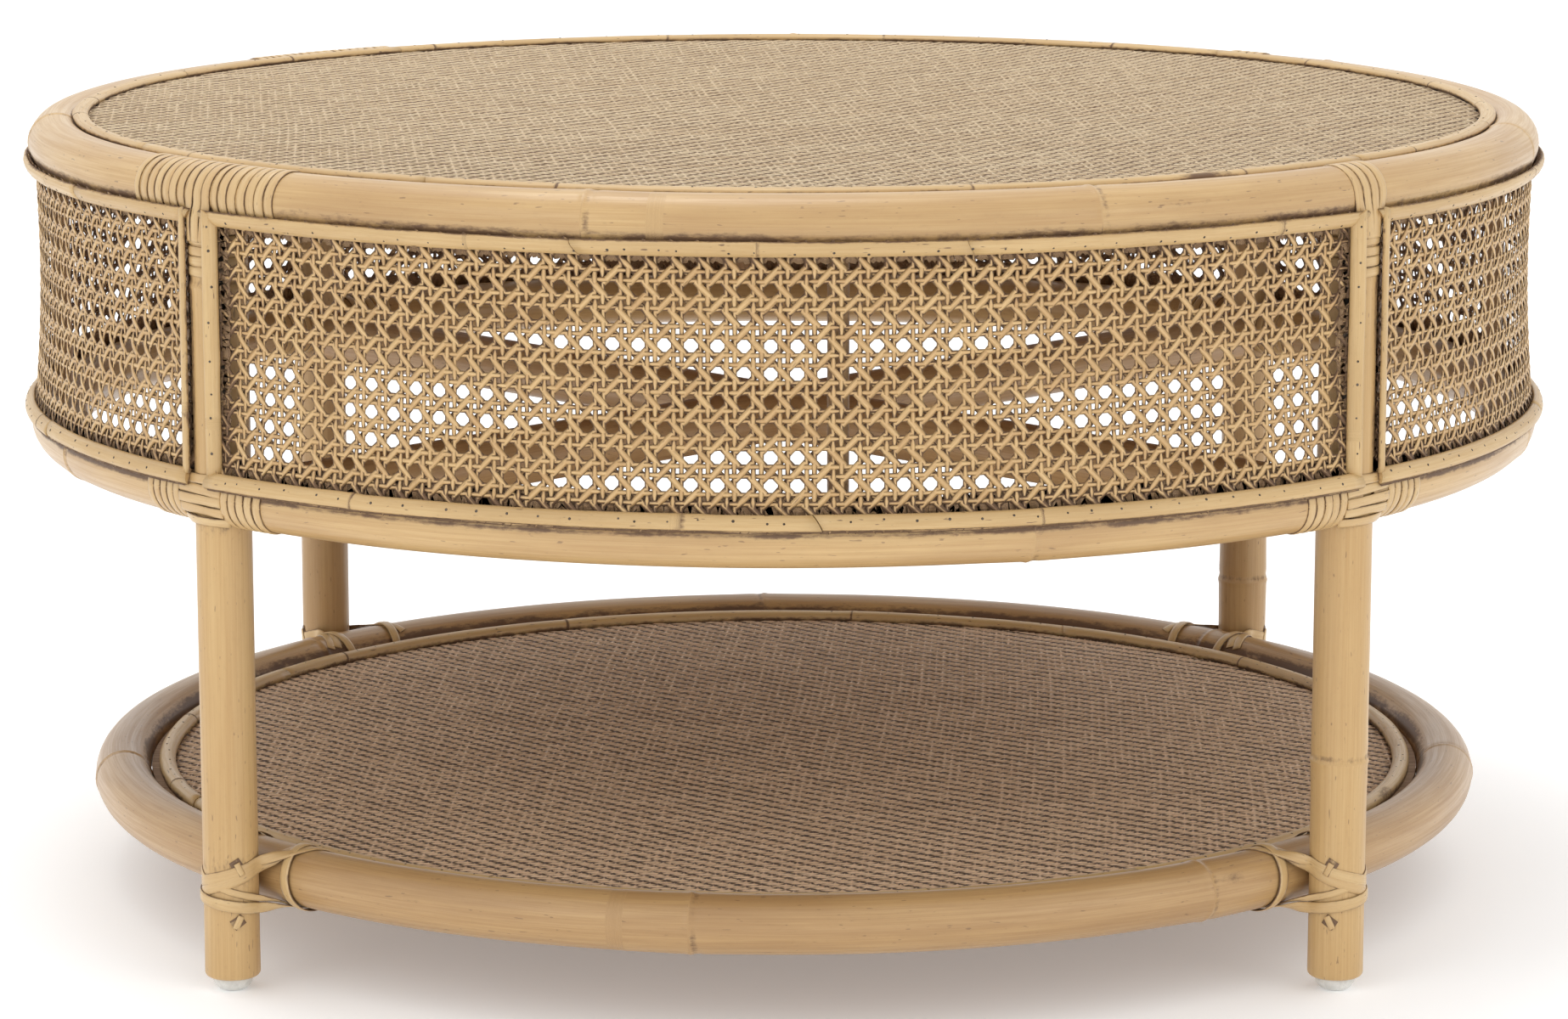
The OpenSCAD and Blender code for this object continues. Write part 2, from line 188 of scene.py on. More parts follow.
def spread(count, low, high, wave):
    """A smooth random line of count values."""
    knots = chance.uniform(low, high, max(2, int(count / wave) + 2))
    return np.interp(np.linspace(0, len(knots) - 1, count), np.arange(len(knots)), knots)


def ring_points(ring, angle, section, lift=0.0):
    """Points on a ring's pole, and their outward normals. section is measured up from outwards."""
    radius, z, thick = ring
    angle, section = np.broadcast_arrays(np.asarray(angle, float), np.asarray(section, float))
    out = np.stack([np.cos(angle), np.sin(angle), 0 * angle], -1)
    up = np.array([0.0, 0.0, 1.0])
    normal = out * np.cos(section)[..., None] + up * np.sin(section)[..., None]
    centre = out * radius + up * z
    return centre + normal * (thick + np.asarray(lift))[..., None], normal


def leg_points(leg, around, z, lift=0.0):
    """Points on a leg, and their outward normals. around is measured anticlockwise from outwards."""
    around, z = np.broadcast_arrays(np.asarray(around, float), np.asarray(z, float))
    a = leg + around
    normal = np.stack([np.cos(a), np.sin(a), 0 * a], -1)
    axis = np.array([math.cos(leg), math.sin(leg), 0]) * LEG_OUT
    points = axis + normal * (LEG_THICK + np.asarray(lift))[..., None]
    points[..., 2] = z
    return points, normal


# ---------------------------------------------------------------- materials
def shade(r, g, b, a=1.0):
    """A colour given as it looks on a screen, from 0 to 255."""
    one = lambda c: c / 255 / 12.92 if c < 10.3 else ((c / 255 + 0.055) / 1.055) ** 2.4
    return (one(r), one(g), one(b), a)


class Wiring:
    """Adds and links the nodes of one tree."""

    def __init__(self, tree):
        self.tree = tree

    def add(self, kind, values=None, **settings):
        node = self.tree.nodes.new("ShaderNode" + kind)
        for key, value in settings.items():
            setattr(node, key, value)
        for key, value in (values or {}).items():
            self.feed(node.inputs[key], value)
        return node

    def feed(self, socket, value):
        if isinstance(value, bpy.types.NodeSocket):
            self.tree.links.new(value, socket)
        else:
            socket.default_value = value

    def noise(self, place, stretch, detail=3.0, rough=0.55):
        spot = self.add("Mapping", {"Vector": place, "Scale": stretch})
        return self.add("TexNoise", {
            "Vector": spot.outputs[0], "Scale": 1.0, "Detail": detail, "Roughness": rough}).outputs[0]

    def limits(self, value, low, high, to_low=0.0, to_high=1.0):
        return self.add("MapRange", {
            "Value": value, "From Min": low, "From Max": high, "To Min": to_low, "To Max": to_high},
            interpolation_type="SMOOTHSTEP").outputs[0]

    def maths(self, how, a, b):
        return self.add("Math", {0: a, 1: b}, operation=how).outputs[0]

    def mix(self, share, a, b, how="MIX"):
        node = self.add("Mix", data_type="RGBA", blend_type=how)
        for name, value in (("Factor_Float", share), ("A_Color", a), ("B_Color", b)):
            self.feed(next(s for s in node.inputs if s.identifier == name), value)
        return next(s for s in node.outputs if s.identifier == "Result_Color")


def new_group(name, inputs, outputs):
    group = bpy.data.node_groups.new(name, "ShaderNodeTree")
    for label, kind, value in inputs:
        socket = group.interface.new_socket(label, in_out="INPUT", socket_type="NodeSocket" + kind)
        if value is not None:
            socket.default_value = value
    for label, kind in outputs:
        group.interface.new_socket(label, in_out="OUTPUT", socket_type="NodeSocket" + kind)
    wires = Wiring(group)
    return group, wires, wires.tree.nodes.new("NodeGroupInput").outputs, \
        wires.tree.nodes.new("NodeGroupOutput").inputs


def make_grain_group():
    """Rattan's skin: fine streaks along the pole, broad patches, and small dark flecks."""
    group, w, given, out = new_group(
        "rattan_grain",
        [("Place", "Vector", None), ("Streak Length", "Float", 14.0), ("Streak Width", "Float", 520.0)],
        [("Streak", "Float"), ("Patch", "Float"), ("Fleck", "Float"), ("Relief", "Float")])
    across = given["Streak Width"]
    along = given["Streak Length"]
    stretch = w.add("CombineXYZ", {"X": along, "Y": across, "Z": across}).outputs[0]
    fine = w.add("CombineXYZ", {
        "X": w.maths("MULTIPLY", along, 3.0), "Y": w.maths("MULTIPLY", across, 3.2),
        "Z": w.maths("MULTIPLY", across, 3.2)}).outputs[0]
    broad = w.noise(given["Place"], stretch, 2.0)
    hair = w.noise(given["Place"], fine, 2.0)
    w.feed(out["Streak"], w.limits(
        w.maths("ADD", w.maths("MULTIPLY", broad, 0.55), w.maths("MULTIPLY", hair, 0.45)), 0.33, 0.67))
    w.feed(out["Patch"], w.limits(w.noise(given["Place"], (7.0, 34.0, 34.0), 3.0), 0.34, 0.7))
    w.feed(out["Fleck"], w.limits(w.noise(given["Place"], (150.0, 640.0, 640.0), 1.0), 0.71, 0.77))
    w.feed(out["Relief"], w.maths("ADD", hair, w.maths("MULTIPLY", broad, 0.6)))
    return group


def make_glaze_group():
    """The brown glazing that was cleaned off the crowns and stayed in the joints, and the painted shade in
    dips and gaps.
    """
    group, w, given, out = new_group(
        "wiped_glaze",
        [("Place", "Vector", None), ("Colour", "Color", None), ("Glaze And Shadow", "Color", shade(96, 68, 48)),
            ("Everywhere", "Float", 0.06)],
        [("Colour", "Color"), ("Mask", "Float")])
    left = w.add("Attribute", attribute_name="glaze").outputs["Fac"]
    smear = w.noise(given["Place"], (190.0, 420.0, 420.0), 4.0, 0.65)
    drift = w.limits(w.noise(given["Place"], (24.0, 70.0, 70.0), 2.0), 0.36, 0.62, 0.62, 1.08)
    ragged = w.maths("ADD", w.maths("MULTIPLY", left, drift), w.maths(
        "MULTIPLY", w.maths("SUBTRACT", smear, 0.5), 0.9))
    mask = w.limits(ragged, 0.28, 0.78)
    haze = w.maths("MULTIPLY", w.limits(smear, 0.5, 0.75), given["Everywhere"])
    mask = w.maths("MAXIMUM", w.maths("MULTIPLY", mask, 0.92), haze)
    w.feed(out["Mask"], mask)
    w.feed(out["Colour"], w.mix(mask, given["Colour"], given["Glaze And Shadow"]))
    return group


GRAIN = make_grain_group()
GLAZE_AND_SHADOW = make_glaze_group()


def rattan(name, pale, deep, patch, gloss=0.42, coat=0.15, long=14.0, fine=520.0, streaks=0.7,
           patches=0.5, flecks=0.5, relief=0.25, haze=0.06, glaze=(98, 70, 50), turned=None):
    """A rattan finish. turned is the grain's direction on a node of the frame, which has no grain of
    its own."""
    material = bpy.data.materials.new(name)
    material.use_nodes = True
    w = Wiring(material.node_tree)
    shader = w.tree.nodes["Principled BSDF"]
    if turned is None:
        place = w.add("Attribute", attribute_name="grain").outputs["Vector"]
    else:
        spot = w.add("TexCoord").outputs["Object"]
        place = w.add("Mapping", {"Vector": spot, "Rotation": turned}).outputs[0]
    grain = w.add("Group", node_tree=GRAIN)
    for key, value in (("Place", place), ("Streak Length", long), ("Streak Width", fine)):
        w.feed(grain.inputs[key], value)
    streak = w.maths("MULTIPLY", grain.outputs["Streak"], streaks)
    colour = w.mix(streak, shade(*pale), shade(*deep))
    colour = w.mix(w.maths("MULTIPLY", grain.outputs["Patch"], patches), colour, shade(*patch))
    colour = w.mix(w.maths("MULTIPLY", grain.outputs["Fleck"], flecks), colour, shade(*glaze))
    glaze_and_shadow_node = w.add("Group", node_tree=GLAZE_AND_SHADOW)
    glaze_and_shadow_inputs = (("Place", place), ("Colour", colour), ("Glaze And Shadow", shade(*glaze)), ("Everywhere", haze))
    for key, value in glaze_and_shadow_inputs:
        w.feed(glaze_and_shadow_node.inputs[key], value)
    w.feed(shader.inputs["Base Color"], glaze_and_shadow_node.outputs["Colour"])
    w.feed(shader.inputs["Roughness"], w.maths(
        "ADD", w.maths("MULTIPLY", glaze_and_shadow_node.outputs["Mask"], 0.35),
        w.limits(grain.outputs["Streak"], 0.0, 1.0, gloss - 0.05, gloss + 0.09)))
    bump = w.add("Bump", {
        "Strength": relief, "Distance": 0.0004, "Height": w.maths(
            "SUBTRACT", grain.outputs["Relief"], w.maths("MULTIPLY", glaze_and_shadow_node.outputs["Mask"], 0.6))})
    w.feed(shader.inputs["Normal"], bump.outputs[0])
    shader.inputs["Coat Weight"].default_value = coat
    shader.inputs["Coat Roughness"].default_value = 0.28
    return material


def plain(name, pale, deep, scale, rough, metal=0.0, ribs=(1.0, 1.0, 1.0), relief=0.1):
    """Board, plastic or steel: one colour clouded by another."""
    material = bpy.data.materials.new(name)
    material.use_nodes = True
    w = Wiring(material.node_tree)
    shader = w.tree.nodes["Principled BSDF"]
    spot = w.add("TexCoord").outputs["Object"]
    cloud = w.noise(spot, tuple(scale * r for r in ribs), 4.0)
    w.feed(shader.inputs["Base Color"], w.mix(w.limits(cloud, 0.3, 0.7), shade(*pale), shade(*deep)))
    w.feed(shader.inputs["Roughness"], w.limits(cloud, 0.2, 0.8, rough - 0.07, rough + 0.07))
    w.feed(shader.inputs["Normal"], w.add(
        "Bump", {"Strength": relief, "Distance": 0.0003, "Height": cloud}).outputs[0])
    shader.inputs["Metallic"].default_value = metal
    return material


POLE = rattan("rattan_pole", (206, 172, 119), (186, 148, 96), (170, 131, 86),
              long=9.0, fine=430.0, coat=0.35, gloss=0.38)
# The shelf ring's finish is a browner copy of the pole finish: partly its own deeper tone, partly painted
# shade under the tabletop.
SHADED_DEEP_POLE = rattan("deep_rattan_pole_painted_shade", (190, 154, 104), (168, 130, 84), (152, 114, 72),
                   long=9.0, fine=430.0, coat=0.35, gloss=0.38)
LEG = rattan("rattan_leg", (204, 170, 117), (189, 151, 98), (182, 143, 92), long=8.0, patches=0.35)
# The back legs' finish is the front legs' finish made darker: painted shade.
SHADED_BACK_LEG = rattan("back_leg_rattan_painted_shade", (190, 155, 105), (174, 136, 88), (164, 126, 80), long=8.0, patches=0.35)
STRIP = rattan("split_rattan", (208, 177, 126), (192, 156, 104), (182, 148, 98),
               long=22.0, fine=800.0, flecks=0.8, gloss=0.4)
PEEL = rattan("rattan_peel", (210, 180, 130), (196, 160, 108), (190, 152, 100),
              long=26.0, fine=900.0, gloss=0.34, coat=0.25, haze=0.1)
CANE = rattan("cane_strand", (218, 184, 131), (194, 155, 102), (176, 134, 86),
              long=40.0, fine=900.0, haze=0.25)
# The mats' darkest colours, given last, colour their glazing and also the painted shade in the dips of their
# weave.
TOP_MAT = rattan("top_mat_strip", (216, 195, 160), (194, 166, 128), (178, 146, 108),
                 long=30.0, fine=700.0, gloss=0.5, coat=0.0, haze=0.3, glaze=(84, 54, 32))
SHELF_MAT = rattan("shelf_mat_strip", (238, 206, 172), (212, 176, 140), (192, 156, 122),
                   long=30.0, fine=700.0, gloss=0.46, coat=0.05, haze=0.3, glaze=(62, 42, 30))
BARE_POLES = {
    name: rattan(name, (196, 158, 110), (172, 132, 88), (160, 122, 80), long=9.0, fine=430.0, turned=turn)
    for name, turn in (
        ("cross_pole_rattan", (0, 0, -math.radians(45))),
        ("short_cross_pole_rattan", (0, 0, math.radians(45))),
        ("upright_rattan", (0, math.radians(90), 0)))}
BOARD = plain("plywood", (166, 132, 96), (134, 102, 72), 30.0, 0.7, ribs=(1.0, 9.0, 4.0))
BATTEN = plain("batten_wood", (186, 154, 114), (160, 126, 88), 22.0, 0.65, ribs=(1.0, 12.0, 12.0))
GLIDE = plain("glide_plastic", (222, 221, 216), (204, 203, 198), 260.0, 0.32)
STEEL = plain("zinc_steel", (176, 176, 176), (140, 140, 140), 900.0, 0.35, metal=1.0)
PIN = plain("pin_steel", (112, 102, 92), (60, 52, 44), 700.0, 0.5, metal=0.7)


# ---------------------------------------------------------------- poles
POLE_SIDES = 32
COPE = 1.35  # how far from a leg's axis the apron's poles end, in leg radii


def knobbed(run, knots, thick):
    """How a pole's thickness changes along it: a raised line, a groove and a slow swelling at each knot."""
    scale = 1 + spread(len(run), -0.012, 0.004, 12)
    for at in knots:
        d = run - at
        scale += (0.5 * np.exp(-(d / 0.0016) ** 2) - 0.35 * np.exp(-((d - 0.004) / 0.0022) ** 2)
                  + 0.35 * np.exp(-(d / 0.016) ** 2)) * MM / thick
    return scale


def knot_glaze(run, knots):
    mark = np.zeros(len(run))
    for at in knots:
        mark = np.maximum(mark, 0.5 * np.exp(-((run - at - 0.003) / 0.0026) ** 2))
    return mark


def stations(length, step, knots):
    """Places along a pole, close together at the knots."""
    near = np.array([-24, -16, -10, -6, -4, -2.6, -1.6, -0.8, 0, 0.8, 1.6, 2.6, 4, 5.4, 7, 10, 16, 24]) * MM
    runs = np.concatenate([np.linspace(0, length, max(3, int(length / step)))] + [near + k for k in knots])
    runs = np.unique(np.round(runs[(runs >= 0) & (runs <= length)], 6))
    return runs[np.concatenate([[True], np.diff(runs) > 0.0004])]


def bent_pole(name, ring, start, span, knots, slot, replaces, glaze_bands=(), cope=False, material=POLE,
              scars=()):
    """A ring's pole, or a length of it between two legs. The dark bands, of glazing and on the shelf ring also
    of painted shade, are (section angle, width, strength), and scars are (place along the pole, section angle,
    half length, half width, strength)."""
    radius, z, thick = ring
    whole = abs(span - TURN) < 1e-9
    run = stations(radius * span, 0.009, knots)
    if whole:
        run = run[:-1]
    angle = start + run / radius
    out = np.stack([np.cos(angle), np.sin(angle), 0 * angle], -1)
    path = out * radius
    path[:, 2] = z
    outline = circle_outline(thick, POLE_SIDES)
    section = np.degrees(np.arctan2(-outline[:, 0], outline[:, 1]))
    glaze = np.repeat(knot_glaze(run, knots)[:, None], POLE_SIDES, 1)
    for at, width, strength in glaze_bands:
        apart = np.abs((section - at + 180) % 360 - 180)
        glaze = np.maximum(glaze, strength * np.clip(1.5 - apart / width, 0, 1)[None])
    for at, turn, long, wide, strength in scars:
        apart = np.abs((section - turn + 180) % 360 - 180)
        spot = np.exp(-((run - at) / long) ** 4)[:, None] * np.exp(-(apart / wide) ** 2)[None]
        glaze = np.maximum(glaze, strength * spot)
    scale = knobbed(run, knots, thick)

    def to_leg(o):
        reach = np.sqrt(np.maximum(LEG_THICK ** 2 - o[:, 1] ** 2, (0.25 * LEG_THICK) ** 2))
        return COPE * LEG_THICK - reach

    bundle = Bundle()
    sweep(bundle, path, out, outline, scale, scale, whole, glaze,
          (to_leg, to_leg) if cope else (None, None), knots)
    bundle.piece(name, material, slot, replaces)


bent_pole("top_ring_pole", TOP, math.radians(262), TURN, (0.222, 0.62, 1.0, 1.4, 1.77, 2.139, 2.65),
          "rattan_pole", ["top_ring"], ((-18, 7, 0.9), (128, 10, 0.9), (-60, 20, 0.5)),
          scars=((0.29, 26, 0.04, 8, 0.5), (0.12, -8, 0.03, 6, 0.45), (1.3, 40, 0.03, 9, 0.45),
                 (2.5, -5, 0.025, 9, 0.4)))
# The shelf ring's band at 150 degrees, where it meets the shelf trim, is glazing in the joint and painted
# shade in the gap.
bent_pole("shelf_ring_pole", SHELF, math.radians(258), TURN, (0.034, 0.322, 0.66, 1.02, 1.35, 1.69, 2.03),
          "rattan_pole", ["shelf_ring"], ((150, 16, 0.9),), material=SHADED_DEEP_POLE,
          scars=((0.335, 30, 0.012, 22, 0.5), (0.9, 60, 0.03, 12, 0.4), (2.4, 10, 0.03, 8, 0.35)))
coped = math.asin(COPE * LEG_THICK / APRON[0])
for side, middle in SIDES.items():
    knots = {"front": (0.445,), "right": (0.2, 0.55), "back": (0.3,), "left": (0.14, 0.5)}[side]
    bent_pole(f"apron_ring_pole_{side}", APRON, middle - math.pi / 4 + coped, math.pi / 2 - 2 * coped, knots,
              "rattan_pole", [f"apron_ring_{side}"], ((14, 6, 0.85), (55, 14, 0.9)), cope=True,
              scars=((knots[0] + 0.03, 18, 0.028, 18, 0.42),))

for name, leg in LEGS.items():
    top = TOP[1] - 0.4 * TOP[2]
    knots = {
        "front_left": (0.385,), "front_right": (0.122,), "back_right": (0.1,), "back_left": (0.33,)}[name]
    run = stations(top - LEG_FOOT, 0.02, knots)
    rounded = np.array([0, 0.6, 1.4, 2.5]) * MM
    run = np.concatenate([rounded, run[run > 4 * MM]])
    path = np.stack([np.full(len(run), math.cos(leg) * LEG_OUT), np.full(len(run), math.sin(leg) * LEG_OUT),
                     LEG_FOOT + run], -1)
    scale = knobbed(run, knots, LEG_THICK)
    scale[:4] = [0.88, 0.94, 0.975, 0.995]
    glaze = np.repeat(knot_glaze(run, knots)[:, None], POLE_SIDES, 1)
    for level, width in ((SHELF[1] + 12 * MM, 7), (SHELF[1] - 15 * MM, 5), (APRON[1] - 15 * MM, 6),
                         (APRON[1] + 17 * MM, 6), (TOP[1] - 46 * MM, 5)):
        glaze = np.maximum(glaze, 0.42 * np.exp(-((path[:, 2:] - level) / (width * MM)) ** 2))
    around = np.abs(np.arctan2(*circle_outline(1, POLE_SIDES).T))
    beside_strips = np.exp(-((around - 0.34) / 0.13) ** 2)[None] * 0.72
    glaze = np.maximum(glaze, beside_strips * np.clip((path[:, 2:] - APRON[1]) / (12 * MM) - 0.5, 0, 1))
    bundle = Bundle()
    sweep(bundle, path, np.tile([math.cos(leg), math.sin(leg), 0], (len(run), 1)),
          circle_outline(LEG_THICK, POLE_SIDES), scale, scale, glaze=glaze, knots=knots)
    # The back legs take the darker copy, which is painted shade.
    bundle.piece(f"leg_pole_{name}", LEG if name.startswith("front") else SHADED_BACK_LEG, "rattan_pole",
                 [f"leg_{name}"])


# ---------------------------------------------------------------- cane webbing
PEEL_T = 1.0 * MM
SEAT = PEEL_T + 0.7 * MM
BEAD_W = 9.8 * MM
BEAD_T = 3.82 * MM
UPPER_TILT = math.radians(-33)
LOWER_TILT = math.radians(31)
SIDE_TILT = math.radians(37)
WAIST = 2.6 * MM
MESH_WIDE = 13.75 * MM
MESH_HIGH = 14.5 * MM
PAIR_WIDE = 4.1 * MM
PAIR_HIGH = 5.1 * MM
STRAND_W = 2.6 * MM
DIAGONAL_W = 3.5 * MM
STRAND_T = 0.55 * MM
PANEL_R = TOP[0] + 11.5 * MM


def seat_point(ring, tilt, along, lift=SEAT):
    radius, z, thick = ring
    d = thick + lift
    return (radius + d * math.cos(tilt) - along * math.sin(tilt),
            z + d * math.sin(tilt) + along * math.cos(tilt))


low_out = seat_point(APRON, LOWER_TILT, -4.6 * MM)
low_in = seat_point(APRON, LOWER_TILT, 5 * MM)
high_in = seat_point(TOP, UPPER_TILT, -5 * MM)
high_out = seat_point(TOP, UPPER_TILT, 4.6 * MM)
steps = np.linspace(0, 1, 13)
free = np.array(low_in) + (np.array(high_in) - low_in) * steps[:, None] \
    - np.stack([WAIST * np.sin(math.pi * steps), 0 * steps], -1)
PROFILE = np.concatenate([[low_out], free, [high_out]])
PROFILE_RUN = np.concatenate([[0], np.cumsum(np.linalg.norm(np.diff(PROFILE, axis=0), axis=1))])
PANEL_HIGH = PROFILE_RUN[-1]
PANEL_HALF = PANEL_R * math.pi / 4 - 8.5 * MM


def panel_points(middle, s, h, depth):
    """Places on a panel: s along it from its middle, h up it, depth outwards."""
    r = np.interp(h, PROFILE_RUN, PROFILE[:, 0])
    z = np.interp(h, PROFILE_RUN, PROFILE[:, 1])
    step = 2.0 * MM
    dr, dz = (
        np.interp(h + step, PROFILE_RUN, line) - np.interp(h - step, PROFILE_RUN, line) for line in PROFILE.T)
    slope = np.hypot(dr, dz)
    from_leg = PANEL_R * math.pi / 4 - np.abs(s)
    lap = LEG_OUT + np.sqrt(np.maximum((LEG_THICK + 1.7 * MM) ** 2 - from_leg ** 2, 0))
    r = np.maximum(r, np.where(from_leg < LEG_THICK, lap, 0))
    a = middle + s / PANEL_R
    out = np.stack([np.cos(a), np.sin(a), 0 * a], -1)
    normal = out * (dz / slope)[..., None] + np.array([0, 0, 1.0]) * (-dr / slope)[..., None]
    points = out * r[..., None]
    points[..., 2] = z
    return points + normal * depth[..., None], normal


def strand_outline(w, t):
    return np.array([[-w / 2, 0], [0, -t / 2], [w / 2, 0], [0, t / 2]])


def wave_between(x, pitch, gap, first):
    """Over and under a pair of crossing strands that lie gap apart and repeat at pitch."""
    t = (x / pitch) % 1.0
    g = gap / pitch / 2
    knots = np.array([0, g * 0.5, g, 0.5, 1 - g, 1 - g * 0.5, 1])
    level = np.array([0, first * 0.8, first, 0, -first, -first * 0.8, 0])
    return np.interp(t, knots, level)


def cane_panel(side, middle):
    bundle = Bundle()
    rows_from = 3.2 * MM
    lift = 0.36 * MM
    # edge darkens the webbing near its edges: glazing gathered there, and painted shade.
    edge = lambda s, h: 0.75 * np.clip(1.35 - np.minimum(
        np.minimum(h - 11 * MM, PANEL_HIGH - 9 * MM - h), (PANEL_HALF - 11 * MM - np.abs(s))) / (5 * MM), 0, 1)

    def lay(s, h, depth, w, deep):
        s = s + spread(len(s), -0.22 * MM, 0.22 * MM, 6)
        h = np.clip(h + spread(len(h), -0.22 * MM, 0.22 * MM, 6), 0.3 * MM, PANEL_HIGH - 0.3 * MM)
        path, normal = panel_points(middle, s, h, depth)
        # Strands that lie deeper, under the crossing ones, are darker: painted shade. deep shifts this for
        # each set of strands.
        glaze = np.maximum(edge(s, h), np.clip(0.34 - depth / (0.9 * MM), 0, 0.62) + deep)
        flank = np.array([0.56, 0.4, 0.56, -0.2])[None]
        sweep(bundle, path, normal, strand_outline(w * chance.uniform(0.94, 1.05), STRAND_T),
              glaze=glaze[:, None] + flank)

    across = int(PANEL_HALF / MESH_WIDE) + 1
    for i in range(-across, across + 1):
        for turn in (-1, 1):
            s0 = i * MESH_WIDE + turn * PAIR_WIDE / 2
            if abs(s0) > PANEL_HALF:
                continue
            h = np.arange(0.5 * MM, PANEL_HIGH, MESH_HIGH / 4.6)
            depth = wave_between(h - rows_from, MESH_HIGH, PAIR_HIGH, turn * lift)
            lay(np.full(len(h), s0), h, depth, STRAND_W, 0.0)
    for j in range(-1, int(PANEL_HIGH / MESH_HIGH) + 2):
        for turn in (-1, 1):
            h0 = rows_from + j * MESH_HIGH + turn * PAIR_HIGH / 2
            if not 0.5 * MM < h0 < PANEL_HIGH - 0.5 * MM:
                continue
            s = np.arange(-PANEL_HALF, PANEL_HALF, MESH_WIDE / 4.6)
            depth = wave_between(s, MESH_WIDE, PAIR_WIDE, -turn * lift)
            lay(s, np.full(len(s), h0), depth, STRAND_W, 0.0)
    high = PANEL_HIGH / MESH_HIGH
    for k in range(-across - int(high) - 2, across + 2):
        for way in (-1, 1):
            t = np.arange(0, high, 0.2)
            x = way * (t - rows_from / MESH_HIGH) + (k + 0.5) * 1.0 + (int(high) + 1 if way < 0 else 0)
            keep = np.abs(x * MESH_WIDE) < PANEL_HALF
            if keep.sum() < 4:
                continue
            t, x = t[keep], x[keep]
            rows = t - rows_from / MESH_HIGH
            over = way * 0.62 * MM * np.cos(TURN * rows)
            lay(x * MESH_WIDE, t * MESH_HIGH, over, DIAGONAL_W, -0.1)

    def frayed(s, h, reach, along_s):
        """A dense dark edge of cut and glued cane behind the strands, with a ragged rim. Its darkness is
        partly painted shade.
        """
        ragged = reach / 2 * (1 + chance.uniform(-0.2, 0.26, len(s)))
        path, normal = panel_points(middle, s + (0 if along_s else ragged * np.sign(-s)),
                                    h + (ragged * along_s), np.full(len(s), -0.75 * MM))
        flat = np.array([[-1, -0.15], [1, -0.15], [1, 0.15], [-1, 0.15]]) * [1, MM]
        sweep(bundle, path, normal, flat, wide=ragged + 0.5 * MM, glaze=0.8)

    line = np.arange(-PANEL_HALF, PANEL_HALF, 1.1 * MM)
    frayed(line, np.full(len(line), 8.5 * MM), 10.5 * MM, 1)
    frayed(line, np.full(len(line), PANEL_HIGH - 8.5 * MM), 4.5 * MM, -1)
    for edge_s in (-PANEL_HALF, PANEL_HALF):
        line = np.arange(9 * MM, PANEL_HIGH - 9 * MM, 1.1 * MM)
        frayed(np.full(len(line), edge_s), line, 9.5 * MM, 0)
    bundle.piece(f"cane_webbing_{side}", CANE, "cane_webbing", [f"cane_panel_{side}"])


for side, middle in SIDES.items():
    cane_panel(side, middle)


# ---------------------------------------------------------------- beads, trims and pins
PIN_SIDES = 8
pins = Bundle()


def pin(point, normal, r=0.8 * MM):
    """A pin head that lies in a dent of the strip."""
    n = PIN_SIDES
    a = np.arange(n) * TURN / n
    side = unit(np.cross(normal, [0.3, 0.2, 0.93]))
    other = np.cross(normal, side)
    rows = [(1.0, -0.5), (1.0, 0.15), (0.6, 0.32)]
    points = np.array([
        point + normal * up * MM + (side * math.cos(t) + other * math.sin(t)) * r * wide
        for wide, up in rows for t in a])
    i, k = np.arange(2)[:, None] * n, np.arange(n)[None]
    l = (k + 1) % n
    quads = np.stack([i + k, i + l, i + n + l, i + n + k], -1).reshape(-1, 4)
    pins.add(points, points.copy(), 0.0, [
        (quads, True), (2 * n + np.arange(n)[None], True), (np.arange(n)[None, ::-1], False)])


def bead(bundle, path, normal, w, t, knots=(), ends=(None, None), edge=0.8, pin_step=17.0 * MM,
         worn=None):
    """One half-round strip, with its knots and the pins along it. worn is how far its skin has split off."""
    n = len(path)
    run = np.concatenate([[0], np.cumsum(np.linalg.norm(np.diff(path, axis=0), axis=1))])
    outline = half_round_outline(w, t)
    flank = np.clip(1.1 - outline[:, 1] / t * 1.5, 0, 1) * edge
    scale = 1 + spread(n, -0.06, 0.0, 9)
    glaze = np.repeat(flank[None], n, 0)
    for at in knots:
        d = run - at
        scale += 0.03 * np.exp(-(d / 0.0016) ** 2)
        glaze = np.maximum(glaze, 0.85 * np.exp(-((d - 0.0012) / 0.0013) ** 2)[:, None])
    if worn is not None:
        glaze = np.maximum(glaze, worn[:, None] * np.clip(0.35 + outline[:, 0] / w * 2.2, 0, 1)[None])
    sweep(bundle, path, normal, outline, scale, scale, glaze=glaze, ends=ends, knots=knots)
    at = pin_step * chance.uniform(0.3, 0.7)
    while at < run[-1] - 4 * MM:
        i = int(np.clip(np.searchsorted(run, at), 1, n - 1))
        tangent = unit(path[i] - path[i - 1])
        side = np.cross(tangent, normal[i])
        lean = chance.uniform(-0.22, 0.3)
        way = unit(normal[i] * math.cos(lean) + side * math.sin(lean))
        spot = path[i] + normal[i] * t * 0.93 * math.cos(lean) + side * w / 2 * math.sin(lean)
        pin(spot, way, chance.uniform(0.55, 0.85) * MM)
        at += pin_step * chance.uniform(0.75, 1.3)


def bead_on_ring(bundle, ring, tilt, start, end, lift, w, t, cuts, ends, z_wave=0.25 * MM, **more):
    """A strip bent round a ring in several lengths, which meet at cuts."""
    marks = [start, *cuts, end]
    for i, (a, b) in enumerate(zip(marks[:-1], marks[1:])):
        length = (b - a) * ring[0]
        knots = [k for k in np.cumsum(chance.uniform(0.09, 0.24, 12)) if k < length - 0.02]
        run = stations(length, 0.008, knots)
        angle = a + run / ring[0]
        wobble = spread(len(run), -z_wave, z_wave, 14) / ring[2]
        path, normal = ring_points(ring, angle, tilt + wobble, lift)
        bead(bundle, path, normal, w, t, knots,
             (ends[0] if i == 0 else slant, ends[1] if i == len(marks) - 2 else slant_back), **more)


